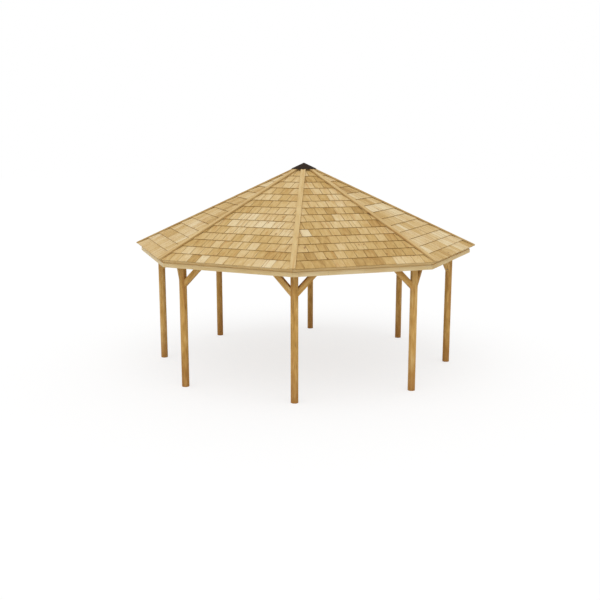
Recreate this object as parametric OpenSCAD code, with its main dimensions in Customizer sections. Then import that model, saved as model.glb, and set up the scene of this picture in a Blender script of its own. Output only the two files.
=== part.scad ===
// Open octagonal shelter with a shingled pyramid roof, millimetres, +Z up.
// The origin is on the ground, in the middle of the ring of posts.

/* [Posts] */
// Distance from the middle of the shelter to each post's axis
post_ring_r = 2700; // [2400:10:2800]
// Width of a post across its flat faces
post_w = 120; // [100:1:160]

/* [Ring beam] */
// Thickness of the beams that join the post tops
beam_t = 75; // [60:1:100]
// Depth of those beams
beam_h = 180; // [120:1:240]

/* [Knee braces] */
// Thickness of a brace
brace_t = 75; // [45:1:85]
// Depth of a brace across its face
brace_d = 90; // [60:1:140]
// Distance from the post's axis to the middle of the brace, under the beam
brace_reach = 370; // [300:5:600]

/* [Roof] */
// How far the corners of the shingled edge stand out past the posts' axes
eave_overhang = 455; // [300:5:700]
// Height of the shingled edge above the ground
eave_z = 2218; // [2000:1:2600]
// Slope of each side of the roof in degrees
roof_pitch = 26.75; // [20:0.25:36]

/* [Shingles] */
// Number of shingle courses from the eave to the apex
course_count = 15; // [10:1:20]
// Step at the butt of each course
butt_step = 10; // [5:1:18]
// Thickness of the layer that each course lies on
lap_t = 3; // [2:1:10]
// Width of a shingle with its joint
shingle_w = 168; // [100:1:250]
// Open joint between two shingles
shingle_joint = 6; // [3:0.5:10]
// How far the joints of a course stand aside from those of the course below
joint_shift = 67; // [20:1:120]
// Least width of a shingle's butt beside a hip
hip_shingle_w = 100; // [85:1:160]
// Thickness left under the joints, which holds a side together
joint_skin = 1; // [0.5:0.5:3]

/* [Deck] */
// Thickness of the roof boards under the shingles
deck_t = 18; // [12:1:28]
// Width of one roof board
board_w = 138; // [90:1:180]
// Depth of the bevels along the lower edges of the boards
board_bevel = 5; // [2:0.5:8]
// How far the boards stop short of the shingled edge, up the slope
deck_setback = 60; // [20:1:100]
// Open joint between the boards of neighbouring sides, over a hip rafter
deck_gap = 4; // [2:1:10]

/* [Rafters] */
// Width of the common and jack rafters
rafter_w = 45; // [35:1:60]
// Depth of all rafters, square to the roof
rafter_d = 115; // [90:1:150]
// Width of the hip rafters
hip_w = 60; // [45:1:75]
// Distance of the jack rafters from the middle of a roof side
jack_offset = 600; // [400:10:750]

/* [Fascia] */
// Thickness of the fascia boards
fascia_t = 22; // [15:1:32]
// Height of the fascia boards
fascia_h = 70; // [45:1:90]
// How far the shingled edge stands out past the fascia
fascia_setback = 74; // [40:1:120]
// How far the fascia hangs below the eave rails
fascia_lip = 32; // [0:1:45]
// Thickness of the eave rails that close the rafter tails behind the fascia
rail_t = 28; // [20:1:45]
// Open joint between two fascia boards or eave rails at a corner
fascia_joint = 2; // [1:0.5:6]

/* [Hip caps] */
// Width of the boards that cover the hips
hip_cap_w = 85; // [60:1:110]
// Thickness of those boards
hip_cap_t = 20; // [12:1:30]
// How far the hip caps run up under the metal cap
hip_cap_lap = 75; // [40:1:85]

/* [Apex] */
// Width of the hub that the hip rafters meet, across its flat faces
hub_w = 180; // [160:1:260]
// How far the hub hangs below the hip rafters
hub_drop = 40; // [10:1:120]
// Distance from the middle to the corners of the metal cap
cap_r = 235; // [215:1:320]
// Thickness of the cap's metal
cap_t = 2; // [1:0.5:4]

/* [Hidden] */
sides = 8;
turn = 360 / sides;
half = turn / 2;
eave_r = post_ring_r + eave_overhang;
eave_a = eave_r * cos(half);
slope_l = eave_a / cos(roof_pitch);
course_l = slope_l / course_count;
shingle_t = butt_step + lap_t;
roof_t = shingle_t + deck_t;
hip_pitch = atan(tan(roof_pitch) * cos(half));
beam_a = post_ring_r * cos(half);
beam_in_a = beam_a - beam_t / 2;
beam_top_z = under_z(beam_in_a);
beam_z = beam_top_z - beam_h;
fascia_a = eave_a - fascia_setback;
rail_a = fascia_a - fascia_t;
tail_a = rail_a - rail_t;
rail_z = under_z(tail_a);
fascia_z = rail_z - fascia_lip;
hub_z = under_z(hub_w / 2 * cos(half)) - hub_drop;
// How far the cap's inside stands out of the roof plane to lie on the hip caps
cap_seat_n = hip_cap_t * cos(roof_pitch) / cos(hip_pitch)
    + hip_cap_w / 2 * sin(half) * sin(roof_pitch);
hip_cap_top_r = cap_r - hip_cap_lap;
cap_z = roof_z(cap_r * cos(half), 0) - shingle_t;
sky_z = roof_z(0, cap_seat_n + cap_t) + eave_r / 10;
wide = 3 * eave_r;

post_colour = "#ae8349";
frame_colour = "#a67c46";
shingle_colour = "#d9bc89";
trim_colour = "#c9ae7c";
metal_colour = "#342a24";

function numbered(name) = [for (k = [1 : sides]) str(name, "_", k)];

// Height of the plane n out of the roof's slope, at plan distance a from the middle
function roof_z(a, n) = eave_z + (eave_a - a) * tan(roof_pitch) + n / cos(roof_pitch);

// Height of the rafters' underside at plan distance a
function under_z(a) = roof_z(a, -roof_t - rafter_d);

// Point of a roof side's section, s up the slope from the eave and n out of it
function section(s, n) = [
    eave_a - s * cos(roof_pitch) + n * sin(roof_pitch),
    eave_z + s * sin(roof_pitch) + n * cos(roof_pitch)
];

// Point of a hip's section at plan distance r, n out of the hip line
function hip_section(r, n) = [
    r + n * sin(hip_pitch),
    roof_z(r * cos(half), 0) + n * cos(hip_pitch)
];

// Turns +Y to the direction of post k, the first at the front
module at_post(k) {
    rotate(turn * k - 180) children();
}

// Turns +Y to the middle of the side between posts k and k + 1
module in_bay(k) {
    rotate(turn * (k + 0.5) - 180) children();
}

// Extrudes a section drawn in Y and Z to a width along X
module across(w) {
    rotate([90, 0, 90]) linear_extrude(height = w, center = true) children();
}

// Sector of the plan that one side covers, clear of its hips by half the gap
module bay_sector(gap = 0) {
    tip = gap / 2 / sin(half);
    reach = (wide - tip) * tan(half);
    linear_extrude(height = sky_z) polygon([[0, tip], [reach, wide], [-reach, wide]]);
}

// Straight timber along one side, mitred at its ends
module side_board(inner_a, outer_a, low_z, high_z, gap = 0) {
    intersection() {
        bay_sector(gap);
        across(wide) translate([inner_a, low_z]) square([outer_a - inner_a, high_z - low_z]);
    }
}

// Eight-sided prism with its corners towards the posts
module octagon(flat_r, low_z, high_z) {
    translate([0, 0, low_z]) cylinder(h = high_z - low_z, r = flat_r / cos(half), $fn = sides);
}

// Eight-sided pyramid whose faces lie n out of the roof's slope
module pyramid(n, base_z) {
    apex_z = roof_z(0, n);
    foot = (apex_z - base_z) / tan(roof_pitch);
    intersection_for (k = [0 : sides / 2 - 1])
        in_bay(k) across(4 * foot) polygon([[-foot, base_z], [foot, base_z], [0, apex_z]]);
}

// Eight-sided post section with a flat face outwards
module post_section() {
    rotate(half) circle(r = post_w / 2 / cos(half), $fn = sides);
}

module post(k) {
    color(post_colour)
        at_post(k) translate([0, post_ring_r, 0]) linear_extrude(height = beam_z) post_section();
}

module ring_beam(k) {
    color(frame_colour)
        in_bay(k) side_board(beam_in_a, beam_in_a + beam_t, beam_z, beam_top_z);
}

// Brace section along a side: x away from the post's axis, y up
module brace_section() {
    rise = brace_d / 2 / cos(45);
    foot_z = beam_z - brace_reach;
    polygon([
        [0, foot_z - rise],
        [brace_reach + rise, beam_z],
        [brace_reach - rise, beam_z],
        [0, foot_z + rise]
    ]);
}

// Two braces of a post, one along each side, cut to its faces
module knee_braces(k) {
    color(post_colour)
        at_post(k) translate([0, post_ring_r, 0])
            for (hand = [0, 1]) mirror([hand, 0, 0]) difference() {
                rotate(-half) rotate([90, 0, 0])
                    linear_extrude(height = brace_t, center = true) brace_section();
                linear_extrude(height = beam_z) post_section();
            }
}

// Cutter for one joint of course i, which runs out where the course gets thin
module shingle_slot(i) {
    floor_n = joint_skin - butt_step;
    low_s = i * course_l - shingle_joint;
    high_s = (i + 1 - joint_skin / butt_step / 2) * course_l;
    across(shingle_joint) polygon([
        section(low_s, floor_n),
        section(high_s, floor_n),
        section(high_s, butt_step),
        section(low_s, butt_step)
    ]);
}

// Joints of one side, staggered from course to course and clear of the hips
module shingle_joints() {
    for (i = [0 : course_count - 1]) {
        shift = i * joint_shift % shingle_w;
        reach = (eave_a - i * course_l * cos(roof_pitch)) * tan(half) - hip_shingle_w;
        low = ceil((-reach - shift) / shingle_w);
        high = floor((reach - shift) / shingle_w);
        if (low <= high)
            for (j = [low : high]) translate([j * shingle_w + shift, 0, 0]) shingle_slot(i);
    }
}

// Stepped courses of shingles on one side, mitred at its hips
module shingle_courses(k) {
    steps = [for (i = [0 : course_count - 1])
        each [section(i * course_l, 0), section((i + 1) * course_l, -butt_step)]];
    back = [section(slope_l, -shingle_t), section(0, -shingle_t)];
    color(shingle_colour)
        in_bay(k) difference() {
            intersection() {
                bay_sector();
                across(wide) polygon(concat(steps, back));
            }
            shingle_joints();
        }
}

// Boards under the shingles, with a V joint below between each two
module roof_decks() {
    top_s = slope_l + roof_t;
    joints = [for (j = [floor((slope_l - deck_setback) / board_w) : -1 : 1]) deck_setback + j * board_w];
    grooves = [for (s = joints) each [
        section(s + board_bevel, -roof_t),
        section(s, board_bevel - roof_t),
        section(s - board_bevel, -roof_t)
    ]];
    color(frame_colour)
        for (k = [0 : sides - 1]) in_bay(k) intersection() {
            bay_sector(deck_gap);
            across(wide) polygon(concat(
                [section(deck_setback, -shingle_t), section(top_s, -shingle_t), section(top_s, -roof_t)],
                grooves,
                [section(deck_setback, -roof_t)]
            ));
        }
}

// Hip rafters with bevelled tops, notched over the ring beam
module hip_rafters() {
    color(frame_colour)
        for (k = [0 : sides - 1]) difference() {
            intersection() {
                pyramid(-roof_t, beam_z - brace_reach);
                octagon(tail_a, beam_z - brace_reach, sky_z);
                at_post(k) across(hip_w) polygon([
                    [hub_w / 2, under_z(hub_w / 2 * cos(half))],
                    [eave_r, under_z(eave_a)],
                    [eave_r, sky_z],
                    [hub_w / 2, sky_z]
                ]);
            }
            difference() {
                octagon(beam_in_a + beam_t, beam_z, beam_top_z);
                octagon(beam_in_a, 0, sky_z);
            }
        }
}

// Rafter of one side, cut between the hip rafters and notched over the beam
module side_rafter(offset_x, head_a) {
    difference() {
        intersection() {
            bay_sector(hip_w);
            translate([offset_x, 0, 0]) across(rafter_w) polygon([
                [head_a, under_z(head_a)],
                [tail_a, under_z(tail_a)],
                [tail_a, roof_z(tail_a, -roof_t)],
                [head_a, roof_z(head_a, -roof_t)]
            ]);
        }
        across(wide) translate([beam_in_a, beam_z]) square([beam_t, beam_h]);
    }
}

module common_rafters() {
    color(frame_colour)
        for (k = [0 : sides - 1]) in_bay(k) side_rafter(0, hub_w / 2 / cos(half));
}

module jack_rafters() {
    color(frame_colour)
        for (k = [0 : sides - 1]) in_bay(k)
            for (hand = [-1, 1]) side_rafter(hand * jack_offset, jack_offset);
}

// Rails on the rafter tails, their tops bevelled to lie under the deck
module eave_rails() {
    color(trim_colour)
        for (k = [0 : sides - 1]) in_bay(k) intersection() {
            bay_sector(fascia_joint);
            across(wide) polygon([
                [tail_a, rail_z],
                [rail_a, rail_z],
                [rail_a, roof_z(rail_a, -roof_t)],
                [tail_a, roof_z(tail_a, -roof_t)]
            ]);
        }
}

module fascia_boards() {
    color(trim_colour)
        for (k = [0 : sides - 1]) in_bay(k)
            side_board(rail_a, fascia_a, fascia_z, fascia_z + fascia_h, fascia_joint);
}

// Boards along the hips, hollowed below to sit on both sides of the roof
module hip_caps() {
    color(trim_colour)
        for (k = [0 : sides - 1]) difference() {
            at_post(k) across(hip_cap_w) polygon([
                hip_section(hip_cap_top_r, -hip_cap_t),
                hip_section(eave_r, -hip_cap_t),
                hip_section(eave_r, hip_cap_t),
                hip_section(hip_cap_top_r, hip_cap_t)
            ]);
            pyramid(0, eave_z - hip_cap_w);
        }
}

// Block under the apex with a flat face for each hip rafter
module apex_hub() {
    color(frame_colour)
        intersection() {
            rotate(half) octagon(hub_w / 2, hub_z, sky_z);
            pyramid(-roof_t, hub_z);
        }
}

// Folded metal cap that lies on the upper ends of the hip caps
module apex_cap() {
    color(metal_colour)
        intersection() {
            octagon(cap_r * cos(half), cap_z, sky_z);
            difference() {
                pyramid(cap_seat_n + cap_t, cap_z - cap_r);
                pyramid(cap_seat_n, cap_z - 2 * cap_r);
            }
        }
}

for (k = [0 : sides - 1]) {
    post(k);
    ring_beam(k);
    knee_braces(k);
    shingle_courses(k);
}
roof_decks();
hip_rafters();
common_rafters();
jack_rafters();
eave_rails();
fascia_boards();
hip_caps();
apex_hub();
apex_cap();
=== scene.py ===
import math
import random
import bmesh
import bpy
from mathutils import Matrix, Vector, noise


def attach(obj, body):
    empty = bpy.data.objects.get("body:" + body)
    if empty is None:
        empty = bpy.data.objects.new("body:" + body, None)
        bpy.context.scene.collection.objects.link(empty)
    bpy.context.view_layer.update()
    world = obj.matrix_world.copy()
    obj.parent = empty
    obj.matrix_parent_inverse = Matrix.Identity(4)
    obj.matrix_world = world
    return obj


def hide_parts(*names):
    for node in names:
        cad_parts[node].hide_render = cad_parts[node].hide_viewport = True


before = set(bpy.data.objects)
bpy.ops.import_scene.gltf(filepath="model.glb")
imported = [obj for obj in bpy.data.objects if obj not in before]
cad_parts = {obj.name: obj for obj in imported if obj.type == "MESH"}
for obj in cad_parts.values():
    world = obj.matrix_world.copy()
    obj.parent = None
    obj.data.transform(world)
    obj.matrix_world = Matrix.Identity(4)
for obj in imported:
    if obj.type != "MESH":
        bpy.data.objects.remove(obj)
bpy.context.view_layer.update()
print("frame loaded:", len(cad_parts), "nodes")


def pointsOf(node):
    return [vert.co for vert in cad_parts[node].data.vertices]


def outermost(node):
    return max(pointsOf(node), key=lambda place: place.xy.length).copy()


# The roof's own measures: a side lies between two hips, x along its eave, s up the slope, n out of it
roof = {
    "sides": 8,
    "pitch": math.radians(26.75),
    "courses": 15,
    "buttStep": 0.010,  # step at each butt
    "lapThickness": 0.003,  # layer that a course lies on
}
sideNumbers = range(1, roof["sides"] + 1)
halfTurn = math.pi / roof["sides"]
slopeCos = math.cos(roof["pitch"])
slopeSin = math.sin(roof["pitch"])
eaveCorner = outermost("shingle_courses_1")
eaveReach = eaveCorner.xy.length * math.cos(halfTurn)  # middle of an eave from the axis
slopeLength = eaveReach / slopeCos
courseLength = slopeLength / roof["courses"]
shingleDepth = roof["buttStep"] + roof["lapThickness"]
logLength = 40.0  # each board is cut somewhere along this much grain


def sideTurn(number):
    return (number - 0.5) * 2 * halfTurn - math.pi


def sidePoint(turn, x, s, n):
    out = eaveReach - s * slopeCos + n * slopeSin
    up = eaveCorner.z + s * slopeSin + n * slopeCos
    return (x * math.cos(turn) - out * math.sin(turn), x * math.sin(turn) + out * math.cos(turn), up)


def hipReach(s, n=0.0):
    # half the width of a side at s up its slope
    return (eaveReach - s * slopeCos + n * slopeSin) * math.tan(halfTurn)


def clamped(value, low=0.0, high=1.0):
    return min(max(value, low), high)


def grainOffset(rng, across, depths):
    # how far along the log a board is cut, and how it lies to the pith
    return (rng.uniform(0, logLength), rng.uniform(-across, across), rng.uniform(*depths))


# Mesh heaps: many small solids gathered into one piece
def newHeap():
    return {"points": [], "faces": [], "grain": [], "tone": [], "rim": []}


def addSolid(heap, points, faces, grain, tone, rims):
    start = len(heap["points"])
    heap["points"] += points
    heap["faces"] += [[start + i for i in face] for face in faces]
    heap["grain"] += grain
    heap["tone"] += [tone] * len(points)
    heap["rim"] += rims


def addPlain(heap, points, faces):
    # a solid of a material without grain
    addSolid(heap, points, faces, [(0.0, 0.0, 0.0)] * len(points), 0.5, [0.0] * len(faces))


def setGrain(mesh, grain, tone):
    along = mesh.attributes.new("grain", "FLOAT_VECTOR", "POINT")
    along.data.foreach_set("vector", [value for vector in grain for value in vector])
    mesh.attributes.new("tone", "FLOAT", "POINT").data.foreach_set("value", tone)


def setRim(mesh, rim):
    mesh.attributes.new("rim", "FLOAT", "FACE").data.foreach_set("value", rim)


def smoothUnder(mesh, degrees):
    mesh.polygons.foreach_set("use_smooth", [True] * len(mesh.polygons))
    mesh.set_sharp_from_angle(angle=math.radians(degrees))


def heapMesh(name, heap, smooth=35):
    mesh = bpy.data.meshes.new(name)
    mesh.from_pydata(heap["points"], [], heap["faces"])
    setGrain(mesh, heap["grain"], heap["tone"])
    setRim(mesh, heap["rim"])
    smoothUnder(mesh, smooth)
    mesh.update()
    return mesh


def settle(name, mesh, material, slotName, *nodes):
    # puts a finished mesh into the scene and on the one body
    piece = bpy.data.objects.new(name, mesh)
    bpy.context.scene.collection.objects.link(piece)
    mesh.materials.clear()
    mesh.materials.append(material)
    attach(piece, "root")
    if nodes:
        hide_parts(*nodes)


# Material helpers
def colour(code):
    # a hex code as linear light
    parts = [int(code[i:i + 2], 16) / 255 for i in (0, 2, 4)]
    return [c / 12.92 if c <= 0.04045 else ((c + 0.055) / 1.055) ** 2.4 for c in parts] + [1.0]


def newTree(block):
    block.use_nodes = True
    block.node_tree.nodes.clear()
    return block.node_tree


def newMaterial(name):
    material = bpy.data.materials.new(name)
    return material, newTree(material)


def addNode(tree, kind, sockets=None, **settings):
    node = tree.nodes.new("ShaderNode" + kind)
    for key, value in settings.items():
        setattr(node, key, value)
    for key, value in (sockets or {}).items():
        if isinstance(value, bpy.types.NodeSocket):
            tree.links.new(value, node.inputs[key])
        else:
            node.inputs[key].default_value = value
    return node


def surface(tree, sockets):
    shader = addNode(tree, "BsdfPrincipled", sockets)
    addNode(tree, "OutputMaterial", {"Surface": shader.outputs[0]})


def attribute(tree, name, output="Fac"):
    return addNode(tree, "Attribute", attribute_name=name).outputs[output]


def objectPlace(tree):
    return addNode(tree, "TexCoord").outputs["Object"]


def calc(tree, operation, a, b=0.0, c=0.0, clamp=False):
    return addNode(tree, "Math", {0: a, 1: b, 2: c}, operation=operation, use_clamp=clamp).outputs[0]


def times(tree, a, b):
    return calc(tree, "MULTIPLY", a, b)


def plus(tree, a, b):
    return calc(tree, "ADD", a, b)


def centred(tree, value, depth):
    # a value round one half, made to swing round nothing
    return times(tree, calc(tree, "SUBTRACT", value, 0.5), depth)


def vectorMath(tree, operation, sockets):
    return addNode(tree, "VectorMath", sockets, operation=operation).outputs


def ramp(tree, value, stops, smooth=False):
    node = addNode(tree, "ValToRGB", {"Fac": value})
    node.color_ramp.interpolation = "EASE" if smooth else "LINEAR"
    points = node.color_ramp.elements
    while len(points) < len(stops):
        points.new(0.5)
    for point, (place, shade) in zip(points, stops):
        point.position = place
        point.color = colour(shade) if isinstance(shade, str) else [shade, shade, shade, 1.0]
    return node.outputs["Color"]


def blend(tree, amount, under, over):
    return addNode(tree, "Mix", {0: amount, 6: under, 7: over}, data_type="RGBA").outputs[2]


def dyed(tree, tint, mask, depth, code):
    # the tint turned towards another colour where the mask is high
    return blend(tree, times(tree, mask, depth), tint, colour(code))


def stretched(tree, vector, scale, shift=(0.0, 0.0, 0.0)):
    return addNode(tree, "Mapping", {"Vector": vector, "Scale": scale, "Location": shift}).outputs[0]


def cloud(tree, place, scale, detail=2.0, roughness=0.5, output="Fac"):
    sockets = {"Vector": place, "Scale": scale, "Detail": detail, "Roughness": roughness}
    return addNode(tree, "TexNoise", sockets).outputs[output]


def bumped(tree, height, look):
    sockets = {"Height": height, "Strength": look["bump"], "Distance": look["bumpDistance"]}
    return addNode(tree, "Bump", sockets).outputs[0]


# Wood: scales are to the metre along the grain, across it and through the board
woodBase = {
    "knotScale": (2.4, 8.0, 8.0),
    "knotShare": 0.28,  # share of the cells that hold a knot
    "knotStops": [(0.05, 1.0), (0.13, 0.0)],  # from its middle outwards, in cells
    "knotColour": "6b4420",
    "knotDepth": 0.8,
    "haloStops": [(0.0, 1.0), (0.34, 0.0)],
    "haloDepth": 0.35,
    "wanderScale": (0.8, 6.0, 6.0),
    "ringWander": 0.012,
    "ringSwirl": 2.2,  # rings that a knot turns aside
    "ringWidth": 0.007,
    "ringStops": [(0.0, 0.05), (0.55, 0.2), (0.9, 1.0), (1.0, 0.05)],  # early to late wood
    "ringDepth": 0.3,
    "pithLean": 0.02,
    "fibreScale": (7.0, 240.0, 240.0),
    "fibreDepth": 0.35,
    "blotchScale": (1.6, 7.0, 7.0),
    "blotchShift": (3.1, 0.7, 5.3),  # shifts keep the clouds of one wood apart
    "blotchDepth": 0.5,
    "stainScale": (1.1, 16.0, 16.0),
    "stainShift": (9.4, 2.6, 1.7),
    "stainStops": [(0.56, 0.0), (0.72, 1.0)],
    "stainDepth": 0.3,
    "rimDepth": 0.25,  # for cut butts, eased edges and the sides of the hip caps, where it is a painted shade
    "fibreRelief": 0.7,
    "ringRelief": 0.3,
    "knotRelief": 0.3,
    "bump": 0.35,
    "bumpDistance": 0.0015,
    "roughness": 0.6,
    "roughSpread": 0.2,
    "specular": 0.25,
}
shingleLook = dict(
    woodBase,
    tones=[(0.0, "af8a4e"), (0.25, "caa868"), (0.5, "d8ba80"), (0.75, "e3ca98"), (1.0, "ecdab0")],
    lateColour="b68848", stainColour="b97e38", stainDepth=0.42, rimColour="7d5e31", rimDepth=0.8,
    knotScale=(4.5, 8.0, 1.5), knotShare=0.42, ringWidth=0.005, fibreScale=(14.0, 210.0, 210.0),
    fibreDepth=0.5, blotchScale=(6.0, 20.0, 20.0), blotchDepth=0.8, bump=0.5,
    weather={
        "colour": "bb8844", "depth": 0.32,
        "patchScale": 1.6, "patchStops": [(0.52, 0.0), (0.7, 1.0)],
        "fleckScale": 34.0, "fleckStops": [(0.38, 0.25), (0.62, 1.0)],
    },
)
trimLook = dict(
    woodBase,
    tones=[(0.0, "c4a267"), (0.35, "d6b87f"), (0.65, "e2c993"), (1.0, "efddb2")],
    lateColour="bb8d4c", stainColour="c08a48", stainDepth=0.35, rimColour="f0e0b8", knotShare=0.25,
    blotchScale=(2.4, 16.0, 16.0), blotchDepth=0.75, fibreDepth=0.45, ringDepth=0.36,
)
hipLook = dict(trimLook, rimColour="8f6d3b", rimDepth=0.28, blotchDepth=1.1)  # painted shade: the upright sides made darker than the top
railPaintedLightLook = dict(trimLook, tones=[(0.0, "e0bf80"), (0.5, "efd496"), (1.0, "fae2a8")])  # paler than the other trim: painted light against the shade under the eaves
postLook = dict(
    woodBase,
    tones=[(0.0, "8c5d28"), (0.3, "bd8e44"), (0.65, "d8ab60"), (1.0, "eecd8a")],
    lateColour="98662c", stainColour="a96d32", stainDepth=0.55, rimColour="e0bc80", ringWidth=0.006,
    blotchScale=(4.0, 22.0, 22.0), blotchDepth=1.3, fibreDepth=0.7, knotShare=0.35,
    cracks={
        "colour": woodBase["knotColour"], "depth": 0.75,
        "scale": (0.8, 38.0, 38.0), "shift": (5.2, 8.8, 0.4), "stops": [(0.0, 1.0), (0.016, 0.0)],
        "patchScale": (0.7, 9.0, 9.0), "patchShift": (1.9, 4.4, 7.7),
        "patchStops": [(0.48, 0.0), (0.58, 1.0)],
    },
    # darker and redder towards the ground
    lowDarkening={
        "colour": "9f662e", "depth": 0.6,
        "wander": 0.25, "stops": [(0.08, 1.0), (0.95, 0.0)],  # height over the ground
    },
)
frameLook = dict(
    woodBase,
    tones=[(0.0, "a87c44"), (0.35, "ba9052"), (0.65, "c8a066"), (1.0, "d6b47c")],
    lateColour="95682f", stainColour="a3713a", rimColour="d9b985", bump=0.5, roughness=0.7,
    saw={"depth": 0.25, "stretch": (1.0, 0.12, 0.12), "scale": 60.0, "distortion": 1.5, "detail": 1.0},
)


def grainCloud(tree, grain, scale, shift=(0.0, 0.0, 0.0), detail=2.0, roughness=0.55, output="Fac"):
    return cloud(tree, stretched(tree, grain, scale, shift), 1.0, detail, roughness, output)


def woodKnots(tree, grain, look):
    # a few to each board: a dark core, and a stained halo
    place = stretched(tree, grain, look["knotScale"])
    cells = addNode(tree, "TexVoronoi", {"Vector": place, "Scale": 1.0, "Randomness": 1.0}).outputs
    chance = addNode(tree, "SeparateColor", {"Color": cells["Color"]}).outputs[0]
    present = calc(tree, "GREATER_THAN", chance, 1.0 - look["knotShare"])
    core = ramp(tree, cells["Distance"], look["knotStops"], smooth=True)
    halo = ramp(tree, cells["Distance"], look["haloStops"], smooth=True)
    return times(tree, core, present), times(tree, halo, present)


def woodRings(tree, grain, halo, look):
    # growth rings round a pith that lies somewhere beside the board
    wander = grainCloud(tree, grain, look["wanderScale"], output="Color")
    wander = vectorMath(tree, "ADD", {0: wander, 1: (-0.5, -0.5, -0.5)})[0]
    wander = vectorMath(tree, "SCALE", {0: wander, "Scale": look["ringWander"]})[0]
    place = vectorMath(tree, "ADD", {0: grain, 1: wander})[0]
    axes = addNode(tree, "SeparateXYZ", {"Vector": place}).outputs
    across = plus(tree, axes["Y"], times(tree, axes["X"], look["pithLean"]))
    flat = addNode(tree, "CombineXYZ", {"Y": across, "Z": axes["Z"]}).outputs[0]
    distance = vectorMath(tree, "LENGTH", {0: flat})["Value"]
    rings = calc(tree, "DIVIDE", distance, look["ringWidth"])
    rings = plus(tree, rings, times(tree, halo, look["ringSwirl"]))
    return ramp(tree, calc(tree, "FRACT", rings), look["ringStops"])


def cracked(tree, grain, tint, look):
    # fine drying cracks along the grain, in patches
    crack = grainCloud(tree, grain, look["scale"], look["shift"], detail=1.0)
    crack = calc(tree, "ABSOLUTE", calc(tree, "SUBTRACT", crack, 0.5))
    patch = grainCloud(tree, grain, look["patchScale"], look["patchShift"], detail=1.0)
    crack = times(tree, ramp(tree, crack, look["stops"]), ramp(tree, patch, look["patchStops"]))
    return dyed(tree, tint, crack, look["depth"], look["colour"])


def weathered(tree, tint, look):
    # marks that run on from one shingle to the next
    place = objectPlace(tree)
    marks = cloud(tree, place, look["patchScale"], detail=4.0, roughness=0.7)
    marks = ramp(tree, marks, look["patchStops"], smooth=True)
    flecks = ramp(tree, cloud(tree, place, look["fleckScale"]), look["fleckStops"])
    return dyed(tree, tint, times(tree, marks, flecks), look["depth"], look["colour"])


def darkenedLow(tree, blotch, tint, look):
    # darker near the ground
    height = addNode(tree, "SeparateXYZ", {"Vector": objectPlace(tree)}).outputs["Z"]
    edge = plus(tree, height, times(tree, blotch, look["wander"]))
    lowShare = ramp(tree, edge, look["stops"], smooth=True)
    return dyed(tree, tint, lowShare, look["depth"], look["colour"])


def sawMarks(tree, grain, look):
    sockets = {
        "Vector": stretched(tree, grain, look["stretch"]), "Scale": look["scale"],
        "Distortion": look["distortion"], "Detail": look["detail"],
    }
    return times(tree, addNode(tree, "TexWave", sockets, bands_direction="X").outputs["Fac"], look["depth"])


def woodMaterial(name, look):
    material, tree = newMaterial(name)
    grain = attribute(tree, "grain", "Vector")
    tone = attribute(tree, "tone")
    rim = attribute(tree, "rim")
    knot, halo = woodKnots(tree, grain, look)
    late = woodRings(tree, grain, halo, look)
    fibre = grainCloud(tree, grain, look["fibreScale"], detail=4.0)
    blotch = grainCloud(tree, grain, look["blotchScale"], look["blotchShift"], detail=3.0)
    stain = grainCloud(tree, grain, look["stainScale"], look["stainShift"], detail=3.0)
    stain = ramp(tree, stain, look["stainStops"], smooth=True)

    shade = plus(tree, tone, centred(tree, blotch, look["blotchDepth"]))
    shade = calc(tree, "ADD", shade, centred(tree, fibre, look["fibreDepth"]), clamp=True)
    tint = ramp(tree, shade, look["tones"])
    tint = dyed(tree, tint, late, look["ringDepth"], look["lateColour"])
    tint = dyed(tree, tint, stain, look["stainDepth"], look["stainColour"])
    tint = dyed(tree, tint, halo, look["haloDepth"], look["stainColour"])
    tint = dyed(tree, tint, knot, look["knotDepth"], look["knotColour"])
    tint = dyed(tree, tint, rim, look["rimDepth"], look["rimColour"])
    if "cracks" in look:
        tint = cracked(tree, grain, tint, look["cracks"])
    if "weather" in look:
        tint = weathered(tree, tint, look["weather"])
    if "lowDarkening" in look:
        tint = darkenedLow(tree, blotch, tint, look["lowDarkening"])

    relief = plus(tree, times(tree, fibre, look["fibreRelief"]), times(tree, late, look["ringRelief"]))
    relief = plus(tree, relief, times(tree, knot, look["knotRelief"]))
    if "saw" in look:
        relief = plus(tree, relief, sawMarks(tree, grain, look["saw"]))
    surface(tree, {
        "Base Color": tint,
        "Roughness": calc(tree, "MULTIPLY_ADD", fibre, look["roughSpread"], look["roughness"]),
        "Specular IOR Level": look["specular"],
        "Normal": bumped(tree, relief, look),
    })
    return material


shingleWood = woodMaterial("shingleWood", shingleLook)
trimWood = woodMaterial("trimWood", trimLook)
hipWood = woodMaterial("hipWood", hipLook)
railPaintedLightWood = woodMaterial("railPaintedLightWood", railPaintedLightLook)
postWood = woodMaterial("postWood", postLook)
frameWood = woodMaterial("frameWood", frameLook)

# Dark paint on the cap, a little dusty and worn at the folds
capPaint = {
    "body": "31271f",
    "dust": "40342b",
    "worn": "584b40",
    "patchScale": 9.0,
    "patchStops": [(0.45, 0.0), (0.8, 0.35)],
    "streakScale": (30.0, 30.0, 4.0),
    "streakStops": [(0.55, 0.0), (0.85, 0.3)],
    "peelScale": 260.0,
    "bump": 0.12,
    "bumpDistance": 0.001,
    "roughness": 0.6,
    "roughSpread": 0.25,
    "specular": 0.05,
}


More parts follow.
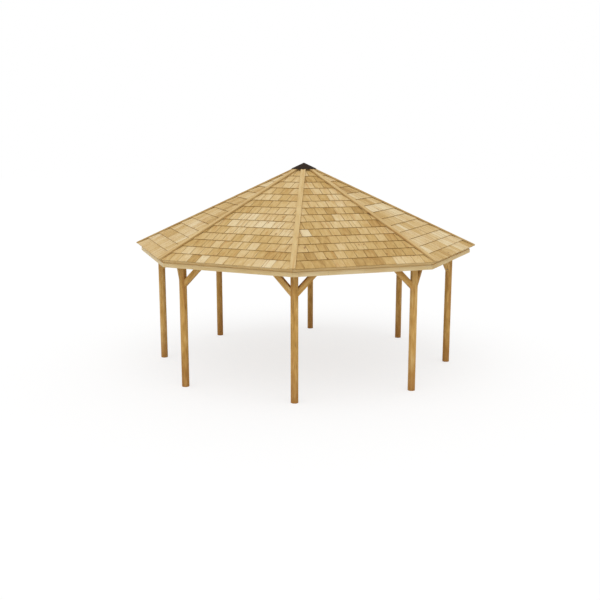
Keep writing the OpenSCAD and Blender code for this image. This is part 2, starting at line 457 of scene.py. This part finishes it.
def paintedMetal(name, look):
    material, tree = newMaterial(name)
    place = objectPlace(tree)
    patches = cloud(tree, place, look["patchScale"], detail=5.0)
    streaks = cloud(tree, stretched(tree, place, look["streakScale"]), 1.0)
    peel = cloud(tree, place, look["peelScale"])
    dust = colour(look["dust"])
    tint = blend(tree, ramp(tree, patches, look["patchStops"]), colour(look["body"]), dust)
    tint = blend(tree, ramp(tree, streaks, look["streakStops"]), tint, dust)
    tint = dyed(tree, tint, attribute(tree, "rim"), patches, look["worn"])
    surface(tree, {
        "Base Color": tint,
        "Roughness": calc(tree, "MULTIPLY_ADD", patches, look["roughSpread"], look["roughness"]),
        "Specular IOR Level": look["specular"],
        "Normal": bumped(tree, peel, look),
    })
    return material


capMetal = paintedMetal("capMetal", capPaint)

# Zinc on the nails and screws, with some rust
nailFinish = {
    "bright": "b9b4a8",
    "dull": "7d776c",
    "rust": "7a5233",
    "flakeScale": 420.0,
    "spotScale": 60.0,
    "spotStops": [(0.55, 0.0), (0.75, 0.7)],
    "metallic": 0.8,
    "roughness": 0.35,
    "roughSpread": 0.3,
}


def galvanised(name, look):
    material, tree = newMaterial(name)
    place = objectPlace(tree)
    flakes = addNode(tree, "TexVoronoi", {"Vector": place, "Scale": look["flakeScale"]}).outputs["Color"]
    flakes = addNode(tree, "SeparateColor", {"Color": flakes}).outputs[0]
    spots = cloud(tree, place, look["spotScale"], detail=4.0)
    tint = blend(tree, flakes, colour(look["bright"]), colour(look["dull"]))
    tint = blend(tree, ramp(tree, spots, look["spotStops"]), tint, colour(look["rust"]))
    surface(tree, {
        "Base Color": tint,
        "Roughness": calc(tree, "MULTIPLY_ADD", spots, look["roughSpread"], look["roughness"]),
        "Metallic": look["metallic"],
    })
    return material


nailMetal = galvanised("nailMetal", nailFinish)
print("materials made:", len(bpy.data.materials))


# Shingles: each one a tapered, slightly cupped board of its own, cut to the hips
shingles = {
    "width": 0.168,
    "joint": 0.006,  # open joint to the next one
    "jointShift": 0.067,  # joints stand aside from those of the course below
    "jointWander": 0.007,
    "hipWidth": 0.100,  # least width of a butt beside a hip
    "hipGap": 0.003,
    "headLap": 0.060,  # runs on under the next course
    "starterLength": 0.150,  # thin layer under the first course
    "buttJitter": 0.003,
    "chamfer": 0.0018,
    "cup": 0.0014,
    "lift": 0.0012,
    "gridAcross": (0.35, 0.65),  # shares of the width and length where its top may bend
    "gridAlong": (0.3, 0.65),
    "leastCell": 1e-8,  # slivers at a hip under this area are left off
    "leastThickness": 0.0002,
    "splitShare": 0.07,  # share that has split in two
    "splitPlace": (0.3, 0.7),
    "splitGap": 0.0015,
    "toneMiddle": 0.5,
    "toneLimits": (0.02, 0.98),
    "toneSpread": 0.10,
    "paintedSideShade": (-0.08, 0.10, 0.0, 0.0, 0.0, 0.0, 0.10, 0.05),  # painted light and shade: some sides lighter or darker than others
    "toneDrift": 0.22,  # slow change of tone over a side
    "driftScale": 0.9,
    "bundleDrift": 0.50,  # runs of one bundle along a course
    "bundleScale": 1.7,
    "oddShare": 0.10,  # share that differs from its neighbours
    "oddDepth": 0.24,
    "topRim": 0.55,  # darker on the chamfers
    "buttRim": 1.0,  # and on the cut edges
    "eaveRim": 0.3,  # butts at the eave are darkened less
    "pithAcross": 0.12,
    "pithDepths": (0.05, 0.2),
    "seed": 11,
}
placeDigits = 6  # places that agree to a micrometre are one
hair = 10 ** -placeDigits


def clipToHips(corners, gap):
    # keeps the part of a flat shape between the two hips of its side
    limit = eaveReach * math.tan(halfTurn) - gap
    slant = slopeCos * math.tan(halfTurn)
    for hand in (1, -1):
        kept = []
        for i, (xa, sa) in enumerate(corners):
            xb, sb = corners[(i + 1) % len(corners)]
            a = limit - hand * xa - slant * sa
            b = limit - hand * xb - slant * sb
            if a >= 0:
                kept.append((xa, sa))
            if (a > 0 > b) or (a < 0 < b):
                t = a / (a - b)
                kept.append((xa + t * (xb - xa), sa + t * (sb - sa)))
        corners = kept
        if len(corners) < 3:
            return []
    return corners


def flatArea(corners):
    pairs = zip(corners, corners[1:] + corners[:1])
    return abs(sum(xa * sb - xb * sa for (xa, sa), (xb, sb) in pairs)) / 2


def shingleGrid(x0, x1, s0, s1):
    # the cells of a shingle's outline as lists of places, and which of them are chamfers
    chamfer = shingles["chamfer"]
    xs = [x0, x0 + chamfer, *(x0 + (x1 - x0) * share for share in shingles["gridAcross"]), x1 - chamfer, x1]
    ss = [s0, s0 + chamfer, *(s0 + (s1 - s0) * share for share in shingles["gridAlong"]), s1]
    places = {}
    cells = []
    rims = []
    for i in range(len(xs) - 1):
        for j in range(len(ss) - 1):
            cell = [(xs[i], ss[j]), (xs[i + 1], ss[j]), (xs[i + 1], ss[j + 1]), (xs[i], ss[j + 1])]
            cell = clipToHips(cell, shingles["hipGap"])
            if flatArea(cell) < shingles["leastCell"]:
                continue
            keys = [(round(x, placeDigits), round(s, placeDigits)) for x, s in cell]
            ids = [places.setdefault(key, len(places)) for key in keys]
            cells.append([a for a, b in zip(ids, ids[1:] + ids[:1]) if a != b])
            rims.append(shingles["topRim"] if i in (0, len(xs) - 2) or j == 0 else 0.0)
    return places, cells, rims


def addShingle(heap, rng, box, layer, tone, offset):
    x0, x1, s0, s1 = box
    cup = rng.uniform(-1, 1) * shingles["cup"]
    twist = rng.uniform(-1, 1) * shingles["lift"]
    lift = rng.uniform(0, 1) * shingles["lift"]
    places, cells, rims = shingleGrid(x0, x1, s0, s1)
    if not cells:
        return
    middle = (x0 + x1) / 2
    tops = []
    bottoms = []
    for x, s in places:
        near = 1.0 - clamped((s - s0) / courseLength)  # bends most at the butt
        u = 2 * (x - middle) / (x1 - x0)
        low = layer["bottomOf"](s)
        n = layer["topOf"](s) + near * (cup * u * u + twist * u + lift)
        if x <= x0 + hair or x >= x1 - hair or s <= s0 + hair:
            n -= shingles["chamfer"]
        tops.append((x, s, max(n, low + shingles["leastThickness"])))
        bottoms.append((x, s, low))
    count = len(tops)
    edges = dict.fromkeys(pair for ids in cells for pair in zip(ids, ids[1:] + ids[:1]))
    walls = [[a, b, count + b, count + a] for a, b in edges if (b, a) not in edges]
    faces = [ids[::-1] for ids in cells] + [[count + i for i in ids] for ids in cells] + walls
    flat = tops + bottoms
    points = [sidePoint(layer["turn"], *place) for place in flat]
    grain = [(s - s0 + offset[0], x - middle + offset[1], n + offset[2]) for x, s, n in flat]
    addSolid(heap, points, faces, grain, tone, rims + [0.0] * len(cells) + [layer["edgeRim"]] * len(walls))


def courseJoints(base, course, rng):
    # places of the joints along a course, and its ends just past the hips
    width = shingles["width"]
    reach = hipReach(base)
    clear = reach - shingles["hipWidth"]
    shift = course * shingles["jointShift"] % width
    first = math.ceil((-clear - shift) / width)
    last = math.floor((clear - shift) / width)
    joints = [-reach - shingles["joint"]]
    for i in range(first, last + 1):
        joints.append(i * width + shift + rng.uniform(-1, 1) * shingles["jointWander"])
    return joints + [reach + shingles["joint"]]


def shingleTone(x, base, number, course, rng):
    # the loose numbers only keep sides and courses apart in the noise
    place = (x * shingles["driftScale"], base * shingles["driftScale"] + number * 7.3, 4.1)
    drift = noise.noise(place) * shingles["toneDrift"]
    place = (x * shingles["bundleScale"], course * 5.3 + number * 3.1, 8.6)
    drift += noise.noise(place) * shingles["bundleDrift"]
    # painted light and shade: a tone shift for each side
    tone = shingles["toneMiddle"] + shingles["paintedSideShade"][number - 1]
    tone = tone + rng.gauss(0, 1) * shingles["toneSpread"] + drift
    if rng.random() < shingles["oddShare"]:
        tone += rng.choice((-1, 1)) * shingles["oddDepth"]
    return clamped(tone, *shingles["toneLimits"])


def layCourse(heap, number, course, rng):
    # the course numbered -1 is the thin starter under the first one
    starter = course < 0
    base = max(course, 0) * courseLength
    length = shingles["starterLength"] if starter else courseLength + shingles["headLap"]
    step, lap = roof["buttStep"], roof["lapThickness"]

    def topOf(s):
        return -step if starter else -step * (s - base) / courseLength

    def bottomOf(s):
        return -step - lap if starter else -step - lap * (s - base) / length

    edgeRim = shingles["eaveRim"] if course < 1 else shingles["buttRim"]
    layer = {"turn": sideTurn(number), "topOf": topOf, "bottomOf": bottomOf, "edgeRim": edgeRim}
    joints = courseJoints(base, course, rng)
    for x, nextJoint in zip(joints, joints[1:]):
        width = nextJoint - x
        butt = base + rng.uniform(0, 1) * shingles["buttJitter"]
        tone = shingleTone(x, base, number, course, rng)
        offset = grainOffset(rng, shingles["pithAcross"], shingles["pithDepths"])
        left = x + shingles["joint"] / 2
        right = x + width - shingles["joint"] / 2
        spans = [(left, right)]
        if rng.random() < shingles["splitShare"]:
            cut = x + width * rng.uniform(*shingles["splitPlace"])
            spans = [(left, cut), (cut + shingles["splitGap"], right)]
        for x0, x1 in spans:
            addShingle(heap, rng, (x0, x1, butt, butt + length), layer, tone, offset)


for number in sideNumbers:
    heap = newHeap()
    rng = random.Random(shingles["seed"] * 100 + number)
    for course in range(-1, roof["courses"]):
        layCourse(heap, number, course, rng)
    name = f"shingle_side_{number}"
    settle(name, heapMesh(name, heap), shingleWood, "shingles", f"shingle_courses_{number}")
print("shingles laid")


# Roof boards under the shingles, seen from inside
deckBoards = {
    "width": 0.138,
    "thickness": 0.018,
    "setback": 0.060,  # boards stop short of the eave
    "apexGap": 0.020,  # and of the apex
    "lastStart": 0.060,  # no board starts nearer to the apex
    "groove": 0.005,  # bevel along the lower edges
    "grooveRim": 0.7,
    "joint": 0.0012,
    "hipGap": 0.002,
    "leastReach": 0.001,
    "tone": (0.5, 0.17),  # middle and spread
    "pithAcross": 0.05,
    "pithDepths": (0.02, 0.12),
    "smooth": 20,
    "seed": 23,
}


def addDeckBoard(heap, turn, s0, s1, rng):
    top = -shingleDepth
    low = -shingleDepth - deckBoards["thickness"]
    groove = deckBoards["groove"]
    outline = [
        (s0, top), (s1, top), (s1, low + groove),
        (s1 - groove, low), (s0 + groove, low), (s0, low + groove),
    ]
    ends = []
    for hand in (-1, 1):
        for s, n in outline:
            reach = hipReach(s, n) - deckBoards["hipGap"] / math.cos(halfTurn)
            ends.append((hand * max(reach, deckBoards["leastReach"]), s, n))
    count = len(outline)
    faces = [[i, (i + 1) % count, count + (i + 1) % count, count + i] for i in range(count)]
    faces += [list(reversed(range(count))), list(range(count, 2 * count))]
    rims = [0.0] * len(faces)
    for bevel in (2, 4):
        rims[bevel] = deckBoards["grooveRim"]
    offset = grainOffset(rng, deckBoards["pithAcross"], deckBoards["pithDepths"])
    grain = [(x + offset[0], s - s0 + offset[1], n + offset[2]) for x, s, n in ends]
    points = [sidePoint(turn, *place) for place in ends]
    addSolid(heap, points, faces, grain, clamped(rng.gauss(*deckBoards["tone"])), rims)


heap = newHeap()
rng = random.Random(deckBoards["seed"])
for number in sideNumbers:
    s = deckBoards["setback"]
    while s < slopeLength - deckBoards["lastStart"]:
        top = min(s + deckBoards["width"], slopeLength - deckBoards["apexGap"])
        addDeckBoard(heap, sideTurn(number), s, top - deckBoards["joint"], rng)
        s = top
deckMesh = heapMesh("deck_boards", heap, deckBoards["smooth"])
settle("deck_boards", deckMesh, frameWood, "frame_timber", "roof_decks")
print("roof boards laid")


# Timbers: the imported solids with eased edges, and grain along each one
timberEdges = {"sharp": 20, "profile": 0.6, "smooth": 40}  # angles in degrees
postTimber = {
    "material": postWood,
    "slot": "post_timber",
    "ease": 0.003,
    "pith": 0.07,  # it lies within this distance
    "tone": (0.55, 0.12),  # middle and spread
}
frameTimber = dict(postTimber, material=frameWood, slot="frame_timber", ease=0.002, tone=(0.5, 0.14))
trimTimber = dict(postTimber, material=trimWood, slot="trim_timber", ease=0.002, pith=0.06, tone=(0.7, 0.08))
timbers = {
    "post": dict(postTimber, ease=0.004, pith=0.012, tone=(0.55, 0.07)),
    "knee_braces": postTimber,
    "ring_beam": dict(frameTimber, ease=0.003, tone=(0.5, 0.12)),
    "hip_rafters": frameTimber,
    "common_rafters": frameTimber,
    "jack_rafters": frameTimber,
    # tone kept high as well: painted light for the rails in the shade under the eaves
    "eave_rails": dict(trimTimber, material=railPaintedLightWood, tone=(0.86, 0.06)),
    "fascia_boards": trimTimber,
    "hip_caps": dict(trimTimber, material=hipWood, tone=(0.32, 0.08), paintedShadeUpright=0.6),  # painted shade on the upright faces
    "apex_hub": dict(frameTimber, ease=0.003, pith=0.01, tone=(0.45, 0.05)),
}
mergeDistance = 5e-5
flatAngle = math.radians(0.5)


def easedCopy(node, ease, edges):
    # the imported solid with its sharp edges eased, and the numbers of the new faces
    bm = bmesh.new()
    bm.from_mesh(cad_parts[node].data)
    bmesh.ops.remove_doubles(bm, verts=bm.verts, dist=mergeDistance)
    bmesh.ops.dissolve_limit(bm, angle_limit=flatAngle, verts=bm.verts, edges=bm.edges)
    sharp = [edge for edge in bm.edges if edge.calc_face_angle(0) > math.radians(edges["sharp"])]
    eased = bmesh.ops.bevel(bm, geom=sharp, offset=ease, segments=2, profile=edges["profile"],
                            affect="EDGES", clamp_overlap=True)
    bm.verts.index_update()
    bm.edges.index_update()
    bm.faces.index_update()
    return bm, {face.index for face in eased["faces"]}


def easedMesh(name, bm, rims, edges):
    mesh = bpy.data.meshes.new(name)
    rim = [1.0 if face.index in rims else 0.0 for face in bm.faces]
    bm.to_mesh(mesh)
    bm.free()
    setRim(mesh, rim)
    smoothUnder(mesh, edges["smooth"])
    return mesh


def islandsOf(bm):
    # the separate solids of a mesh, each as a list of its vertices
    seen = set()
    for start in bm.verts:
        if start in seen:
            continue
        island = [start]
        seen.add(start)
        for vert in island:
            for edge in vert.link_edges:
                other = edge.other_vert(vert)
                if other not in seen:
                    seen.add(other)
                    island.append(other)
        yield island


def grainAxes(island):
    # along the longest edge, and out of the largest face beside it; rounding settles ties
    edges = {edge for vert in island for edge in vert.link_edges}
    longest = max(edges, key=lambda edge: (round(edge.calc_length(), 5), -edge.index))
    along = (longest.verts[1].co - longest.verts[0].co).normalized()
    faces = {face for vert in island for face in vert.link_faces}
    beside = [face for face in faces if abs(face.normal.dot(along)) < 0.1]  # near enough upright to it
    largest = max(beside, key=lambda face: (round(face.calc_area(), 6), -face.index))
    out = (largest.normal - along * largest.normal.dot(along)).normalized()
    return along, out.cross(along), out


def dressTimber(node, look):
    rng = random.Random(node)
    bm, rims = easedCopy(node, look["ease"], timberEdges)
    # the upright faces of the hip caps take the darker rim colour, a painted shade
    if "paintedShadeUpright" in look:
        rims = {face.index for face in bm.faces if abs(face.normal.z) < look["paintedShadeUpright"]}
    grain = [None] * len(bm.verts)
    tone = [0.0] * len(bm.verts)
    for island in islandsOf(bm):
        middle = sum((vert.co for vert in island), Vector()) / len(island)
        axes = grainAxes(island)
        offset = grainOffset(rng, look["pith"], (-look["pith"], look["pith"]))
        shade = clamped(rng.gauss(*look["tone"]))
        for vert in island:
            grain[vert.index] = [(vert.co - middle).dot(axis) + add for axis, add in zip(axes, offset)]
            tone[vert.index] = shade
    name = f"timber_{node}"
    mesh = easedMesh(name, bm, rims, timberEdges)
    setGrain(mesh, grain, tone)
    settle(name, mesh, look["material"], look["slot"], node)


for family, look in timbers.items():
    for node in sorted(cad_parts):
        if node == family or node.rstrip("0123456789") == family + "_":
            dressTimber(node, look)
print("timbers dressed")


# The folded metal cap, its edges slightly rounded
capEdges = {"ease": 0.0006, "sharp": 8, "profile": 0.5, "smooth": 30}
capCopy, capRims = easedCopy("apex_cap", capEdges["ease"], capEdges)
settle("folded_cap", easedMesh("folded_cap", capCopy, capRims, capEdges), capMetal, "cap_metal", "apex_cap")
print("cap dressed")


# Bedding strips that close the steps of the shingles under the hip caps; their dark colour is a painted
# shade beside the caps
bedding = {
    # dark: a painted shade where the strips show beside the hip caps
    "colour": "5d4a30",
    "speck": "80694a",
    "fleckScale": 180.0,
    "fleckStops": [(0.4, 0.0), (0.7, 1.0)],
    "bump": 0.5,
    "bumpDistance": 0.002,
    "roughness": 0.95,
    "inset": 0.002,  # from the hip
    "width": 0.036,
    "low": -0.0118,  # from the tops of the shingles
    "high": 0.0015,
    "footGap": 0.012,
    "headGap": 0.170,
}


def beddingFeltPaintedShade(name, look):
    material, tree = newMaterial(name)
    fleck = cloud(tree, objectPlace(tree), look["fleckScale"], detail=4.0)
    mask = ramp(tree, fleck, look["fleckStops"])
    surface(tree, {
        "Base Color": blend(tree, mask, colour(look["colour"]), colour(look["speck"])),
        "Roughness": look["roughness"],
        "Normal": bumped(tree, fleck, look),
    })
    return material


def addStrip(heap, turn, hand):
    low, high = bedding["low"], bedding["high"]
    near, far = bedding["inset"], bedding["width"]
    corners = []
    for s in (bedding["footGap"], slopeLength - bedding["headGap"]):
        for n, inset in ((low, near), (high, near), (high, far), (low, far)):
            reach = hipReach(s, n) - inset / math.cos(halfTurn)
            corners.append(sidePoint(turn, hand * reach, s, n))
    faces = [[0, 1, 2, 3], [7, 6, 5, 4], [0, 4, 5, 1], [1, 5, 6, 2], [2, 6, 7, 3], [3, 7, 4, 0]]
    addPlain(heap, corners, faces if hand < 0 else [face[::-1] for face in faces])


heap = newHeap()
for number in sideNumbers:
    for hand in (-1, 1):
        addStrip(heap, sideTurn(number), hand)
settle("hip_bedding", heapMesh("hip_bedding", heap), beddingFeltPaintedShade("beddingFeltPaintedShade", bedding), None)
print("hips bedded")


# Fixings: nails in the hip caps and fascia, coach screws in the knee braces
fixings = {
    "sunk": 0.002,  # heads reach this far into the wood
    "nailRadius": 0.0045,
    "nailRise": 0.0012,
    "nailCorners": 12,
    "nailPitch": 0.31,
    "nailOffset": 0.024,  # from the middle of the hip cap
    "nailWander": 0.006,
    "nailStart": 0.05,  # in from the corner of the eave
    "nailStop": 0.3,  # out from the axis
    "fasciaSetback": 0.074,  # in from the edge of the shingles
    "fasciaSpots": (-1.08, -0.6, 0.0, 0.6, 1.08),  # from the middle of a side
    "fasciaHeights": (0.018, 0.052),
    "washerRadius": 0.014,
    "washerRise": 0.002,
    "washerCorners": 24,
    "hexRadius": 0.0085,
    "hexRise": 0.0065,
    "hexChamfer": 0.001,
    "hexCorners": 6,
    "braceReach": 0.370,  # down the post
    "braceDepth": 0.090,
    "screwSpots": (0.108, 0.385),  # out from the axis of the post
    "seed": 41,
}
hipPitch = math.atan(math.tan(roof["pitch"]) * math.cos(halfTurn))
eaveRadius = eaveReach / math.cos(halfTurn)
hipCapDepth = (outermost("hip_caps").xy.length - eaveRadius) / math.sin(hipPitch)
fasciaFoot = min(place.z for place in pointsOf("fascia_boards"))


def addHead(heap, spot, out, sizes, corners):
    # stacked rings from the wood outwards, each one (radius, height)
    out = out.normalized()
    sideways = out.orthogonal().normalized()
    other = out.cross(sideways)
    points = []
    for radius, height in sizes:
        for i in range(corners):
            angle = 2 * math.pi * i / corners
            arm = sideways * math.cos(angle) + other * math.sin(angle)
            points.append(tuple(spot + out * height + arm * radius))
    faces = [list(reversed(range(corners)))]
    for ring in range(len(sizes) - 1):
        for i in range(corners):
            a = ring * corners + i
            b = ring * corners + (i + 1) % corners
            faces.append([a, b, b + corners, a + corners])
    faces.append(list(range((len(sizes) - 1) * corners, len(sizes) * corners)))
    addPlain(heap, points, faces)


def addNail(heap, spot, out):
    # a low dome
    radius, rise = fixings["nailRadius"], fixings["nailRise"]
    sizes = ((radius, -fixings["sunk"]), (radius, rise * 0.5), (radius * 0.7, rise))
    addHead(heap, spot, out, sizes, fixings["nailCorners"])


def addScrew(heap, spot, out):
    # a washer with an eased rim, and a hexagon head with a chamfered top
    radius, rise = fixings["washerRadius"], fixings["washerRise"]
    sizes = ((radius, -fixings["sunk"]), (radius, rise * 0.7), (radius * 0.95, rise))
    addHead(heap, spot, out, sizes, fixings["washerCorners"])
    radius, top = fixings["hexRadius"], rise + fixings["hexRise"]
    sizes = ((radius, rise * 0.5), (radius, top - fixings["hexChamfer"]), (radius * 0.88, top))
    addHead(heap, spot, out, sizes, fixings["hexCorners"])


def nailHip(heap, number, rng):
    angle = sideTurn(number) - halfTurn + math.pi / 2
    radial = Vector((math.cos(angle), math.sin(angle), 0.0))
    beside = Vector((-math.sin(angle), math.cos(angle), 0.0))
    out = radial * math.sin(hipPitch) + Vector((0.0, 0.0, math.cos(hipPitch)))
    reach = eaveRadius - fixings["nailStart"]
    while reach > fixings["nailStop"]:
        up = eaveCorner.z + (eaveReach - reach * math.cos(halfTurn)) * math.tan(roof["pitch"])
        for hand in (-1, 1):
            stray = radial * rng.uniform(-1, 1) * fixings["nailWander"]
            stray.z = -stray.dot(radial) * math.tan(hipPitch)  # stays on the slope of the hip
            spot = radial * reach + Vector((0.0, 0.0, up)) + out * hipCapDepth + stray
            addNail(heap, spot + beside * hand * fixings["nailOffset"], out)
        reach -= fixings["nailPitch"] * math.cos(hipPitch)


def nailFascia(heap, number, rng):
    turn = sideTurn(number)
    out = Vector((-math.sin(turn), math.cos(turn), 0.0))
    beside = Vector((math.cos(turn), math.sin(turn), 0.0))
    for x in fixings["fasciaSpots"]:
        for height in fixings["fasciaHeights"]:
            place = x + rng.uniform(-1, 1) * fixings["nailWander"]
            spot = out * (eaveReach - fixings["fasciaSetback"]) + beside * place
            addNail(heap, spot + Vector((0.0, 0.0, fasciaFoot + height)), out)


def screwBraces(heap, number):
    places = pointsOf(f"post_{number}")
    axis = sum(places, Vector()) / len(places)
    top = max(place.z for place in places)
    rise = fixings["braceDepth"] / 2 / math.cos(math.pi / 4)  # braces stand at 45 degrees
    radial = Vector((axis.x, axis.y, 0.0)).normalized()
    beside = Vector((-radial.y, radial.x, 0.0))
    for hand in (-1, 1):
        along = beside * hand * math.cos(halfTurn) - radial * math.sin(halfTurn)
        out = along - Vector((0.0, 0.0, 1.0))
        for x in fixings["screwSpots"]:
            spot = Vector((axis.x, axis.y, top - fixings["braceReach"] - rise + x)) + along * x
            addScrew(heap, spot, out)


nails = newHeap()
screws = newHeap()
rng = random.Random(fixings["seed"])
for number in sideNumbers:
    nailHip(nails, number, rng)
    nailFascia(nails, number, rng)
    screwBraces(screws, number)
settle("nail_heads", heapMesh("nail_heads", nails), nailMetal, None)
settle("brace_screws", heapMesh("brace_screws", screws), nailMetal, None)
print("fixings set")


# Camera at the photo's angle
cameraView = {
    "place": (0.8205, -15.1981, 4.0583),
    "heading": math.radians(3.359),
    "dip": math.radians(10.81),
    "lens": 49.10,
    "sensor": 36.0,
}
cameraData = bpy.data.cameras.new("camera")
cameraData.lens = cameraView["lens"]
cameraData.sensor_width = cameraView["sensor"]
camera = bpy.data.objects.new("camera", cameraData)
camera.location = cameraView["place"]
camera.rotation_euler = (math.pi / 2 - cameraView["dip"], 0.0, cameraView["heading"])
bpy.context.scene.collection.objects.link(camera)
bpy.context.scene.camera = camera

# Soft studio light: one wide key from the front and above, and an even fill
studio = {
    "keyStrength": 0.85,
    "keyAzimuth": math.radians(-8),  # from the front towards the left
    "keyHeight": math.radians(64),
    "keySpread": math.radians(70),
    "fill": 0.73,
    "backdrop": 1.0,
    "floorGrey": 0.85,
    "floorShown": 0.3,  # share of the visible floor that takes shadow
    "floorGlow": 0.72,
    "floorReach": 80.0,
}
keyData = bpy.data.lights.new("key", "SUN")
keyData.energy = studio["keyStrength"]
keyData.angle = studio["keySpread"]
key = bpy.data.objects.new("key", keyData)
key.rotation_euler = (math.pi / 2 - studio["keyHeight"], 0.0, studio["keyAzimuth"])
bpy.context.scene.collection.objects.link(key)


def greyOf(level):
    return [level] * 3 + [1.0]


def seenDirectly(tree, unseen, seen):
    # camera, mirror and glass rays meet the second shader, all others the first
    rays = addNode(tree, "LightPath").outputs
    direct = calc(tree, "MAXIMUM", rays["Is Camera Ray"], rays["Is Glossy Ray"])
    direct = calc(tree, "MAXIMUM", direct, rays["Is Transmission Ray"])
    return addNode(tree, "MixShader", {0: direct, 1: unseen.outputs[0], 2: seen.outputs[0]}).outputs[0]


world = bpy.data.worlds.new("studio")
bpy.context.scene.world = world
worldTree = newTree(world)
fill = addNode(worldTree, "Background", {"Color": greyOf(1.0), "Strength": studio["fill"]})
backdrop = addNode(worldTree, "Background", {"Color": greyOf(1.0), "Strength": studio["backdrop"]})
addNode(worldTree, "OutputWorld", {"Surface": seenDirectly(worldTree, fill, backdrop)})

floorMaterial, floorTree = newMaterial("paleFloor")
plain = addNode(floorTree, "BsdfDiffuse", {"Color": greyOf(studio["floorGrey"])})
catch = addNode(floorTree, "BsdfDiffuse", {"Color": greyOf(studio["floorShown"])})
glow = addNode(floorTree, "Emission", {"Color": greyOf(1.0), "Strength": studio["floorGlow"]})
lit = addNode(floorTree, "AddShader", {0: catch.outputs[0], 1: glow.outputs[0]})
addNode(floorTree, "OutputMaterial", {"Surface": seenDirectly(floorTree, plain, lit)})
floorMesh = bpy.data.meshes.new("floor")
side = studio["floorReach"]
floorCorners = [(-side, -side, 0), (side, -side, 0), (side, side, 0), (-side, side, 0)]
floorMesh.from_pydata(floorCorners, [], [(0, 1, 2, 3)])
floorMesh.materials.append(floorMaterial)
floor = bpy.data.objects.new("floor", floorMesh)
bpy.context.scene.collection.objects.link(floor)
bpy.context.scene.view_settings.view_transform = "Standard"
print("camera and studio set")
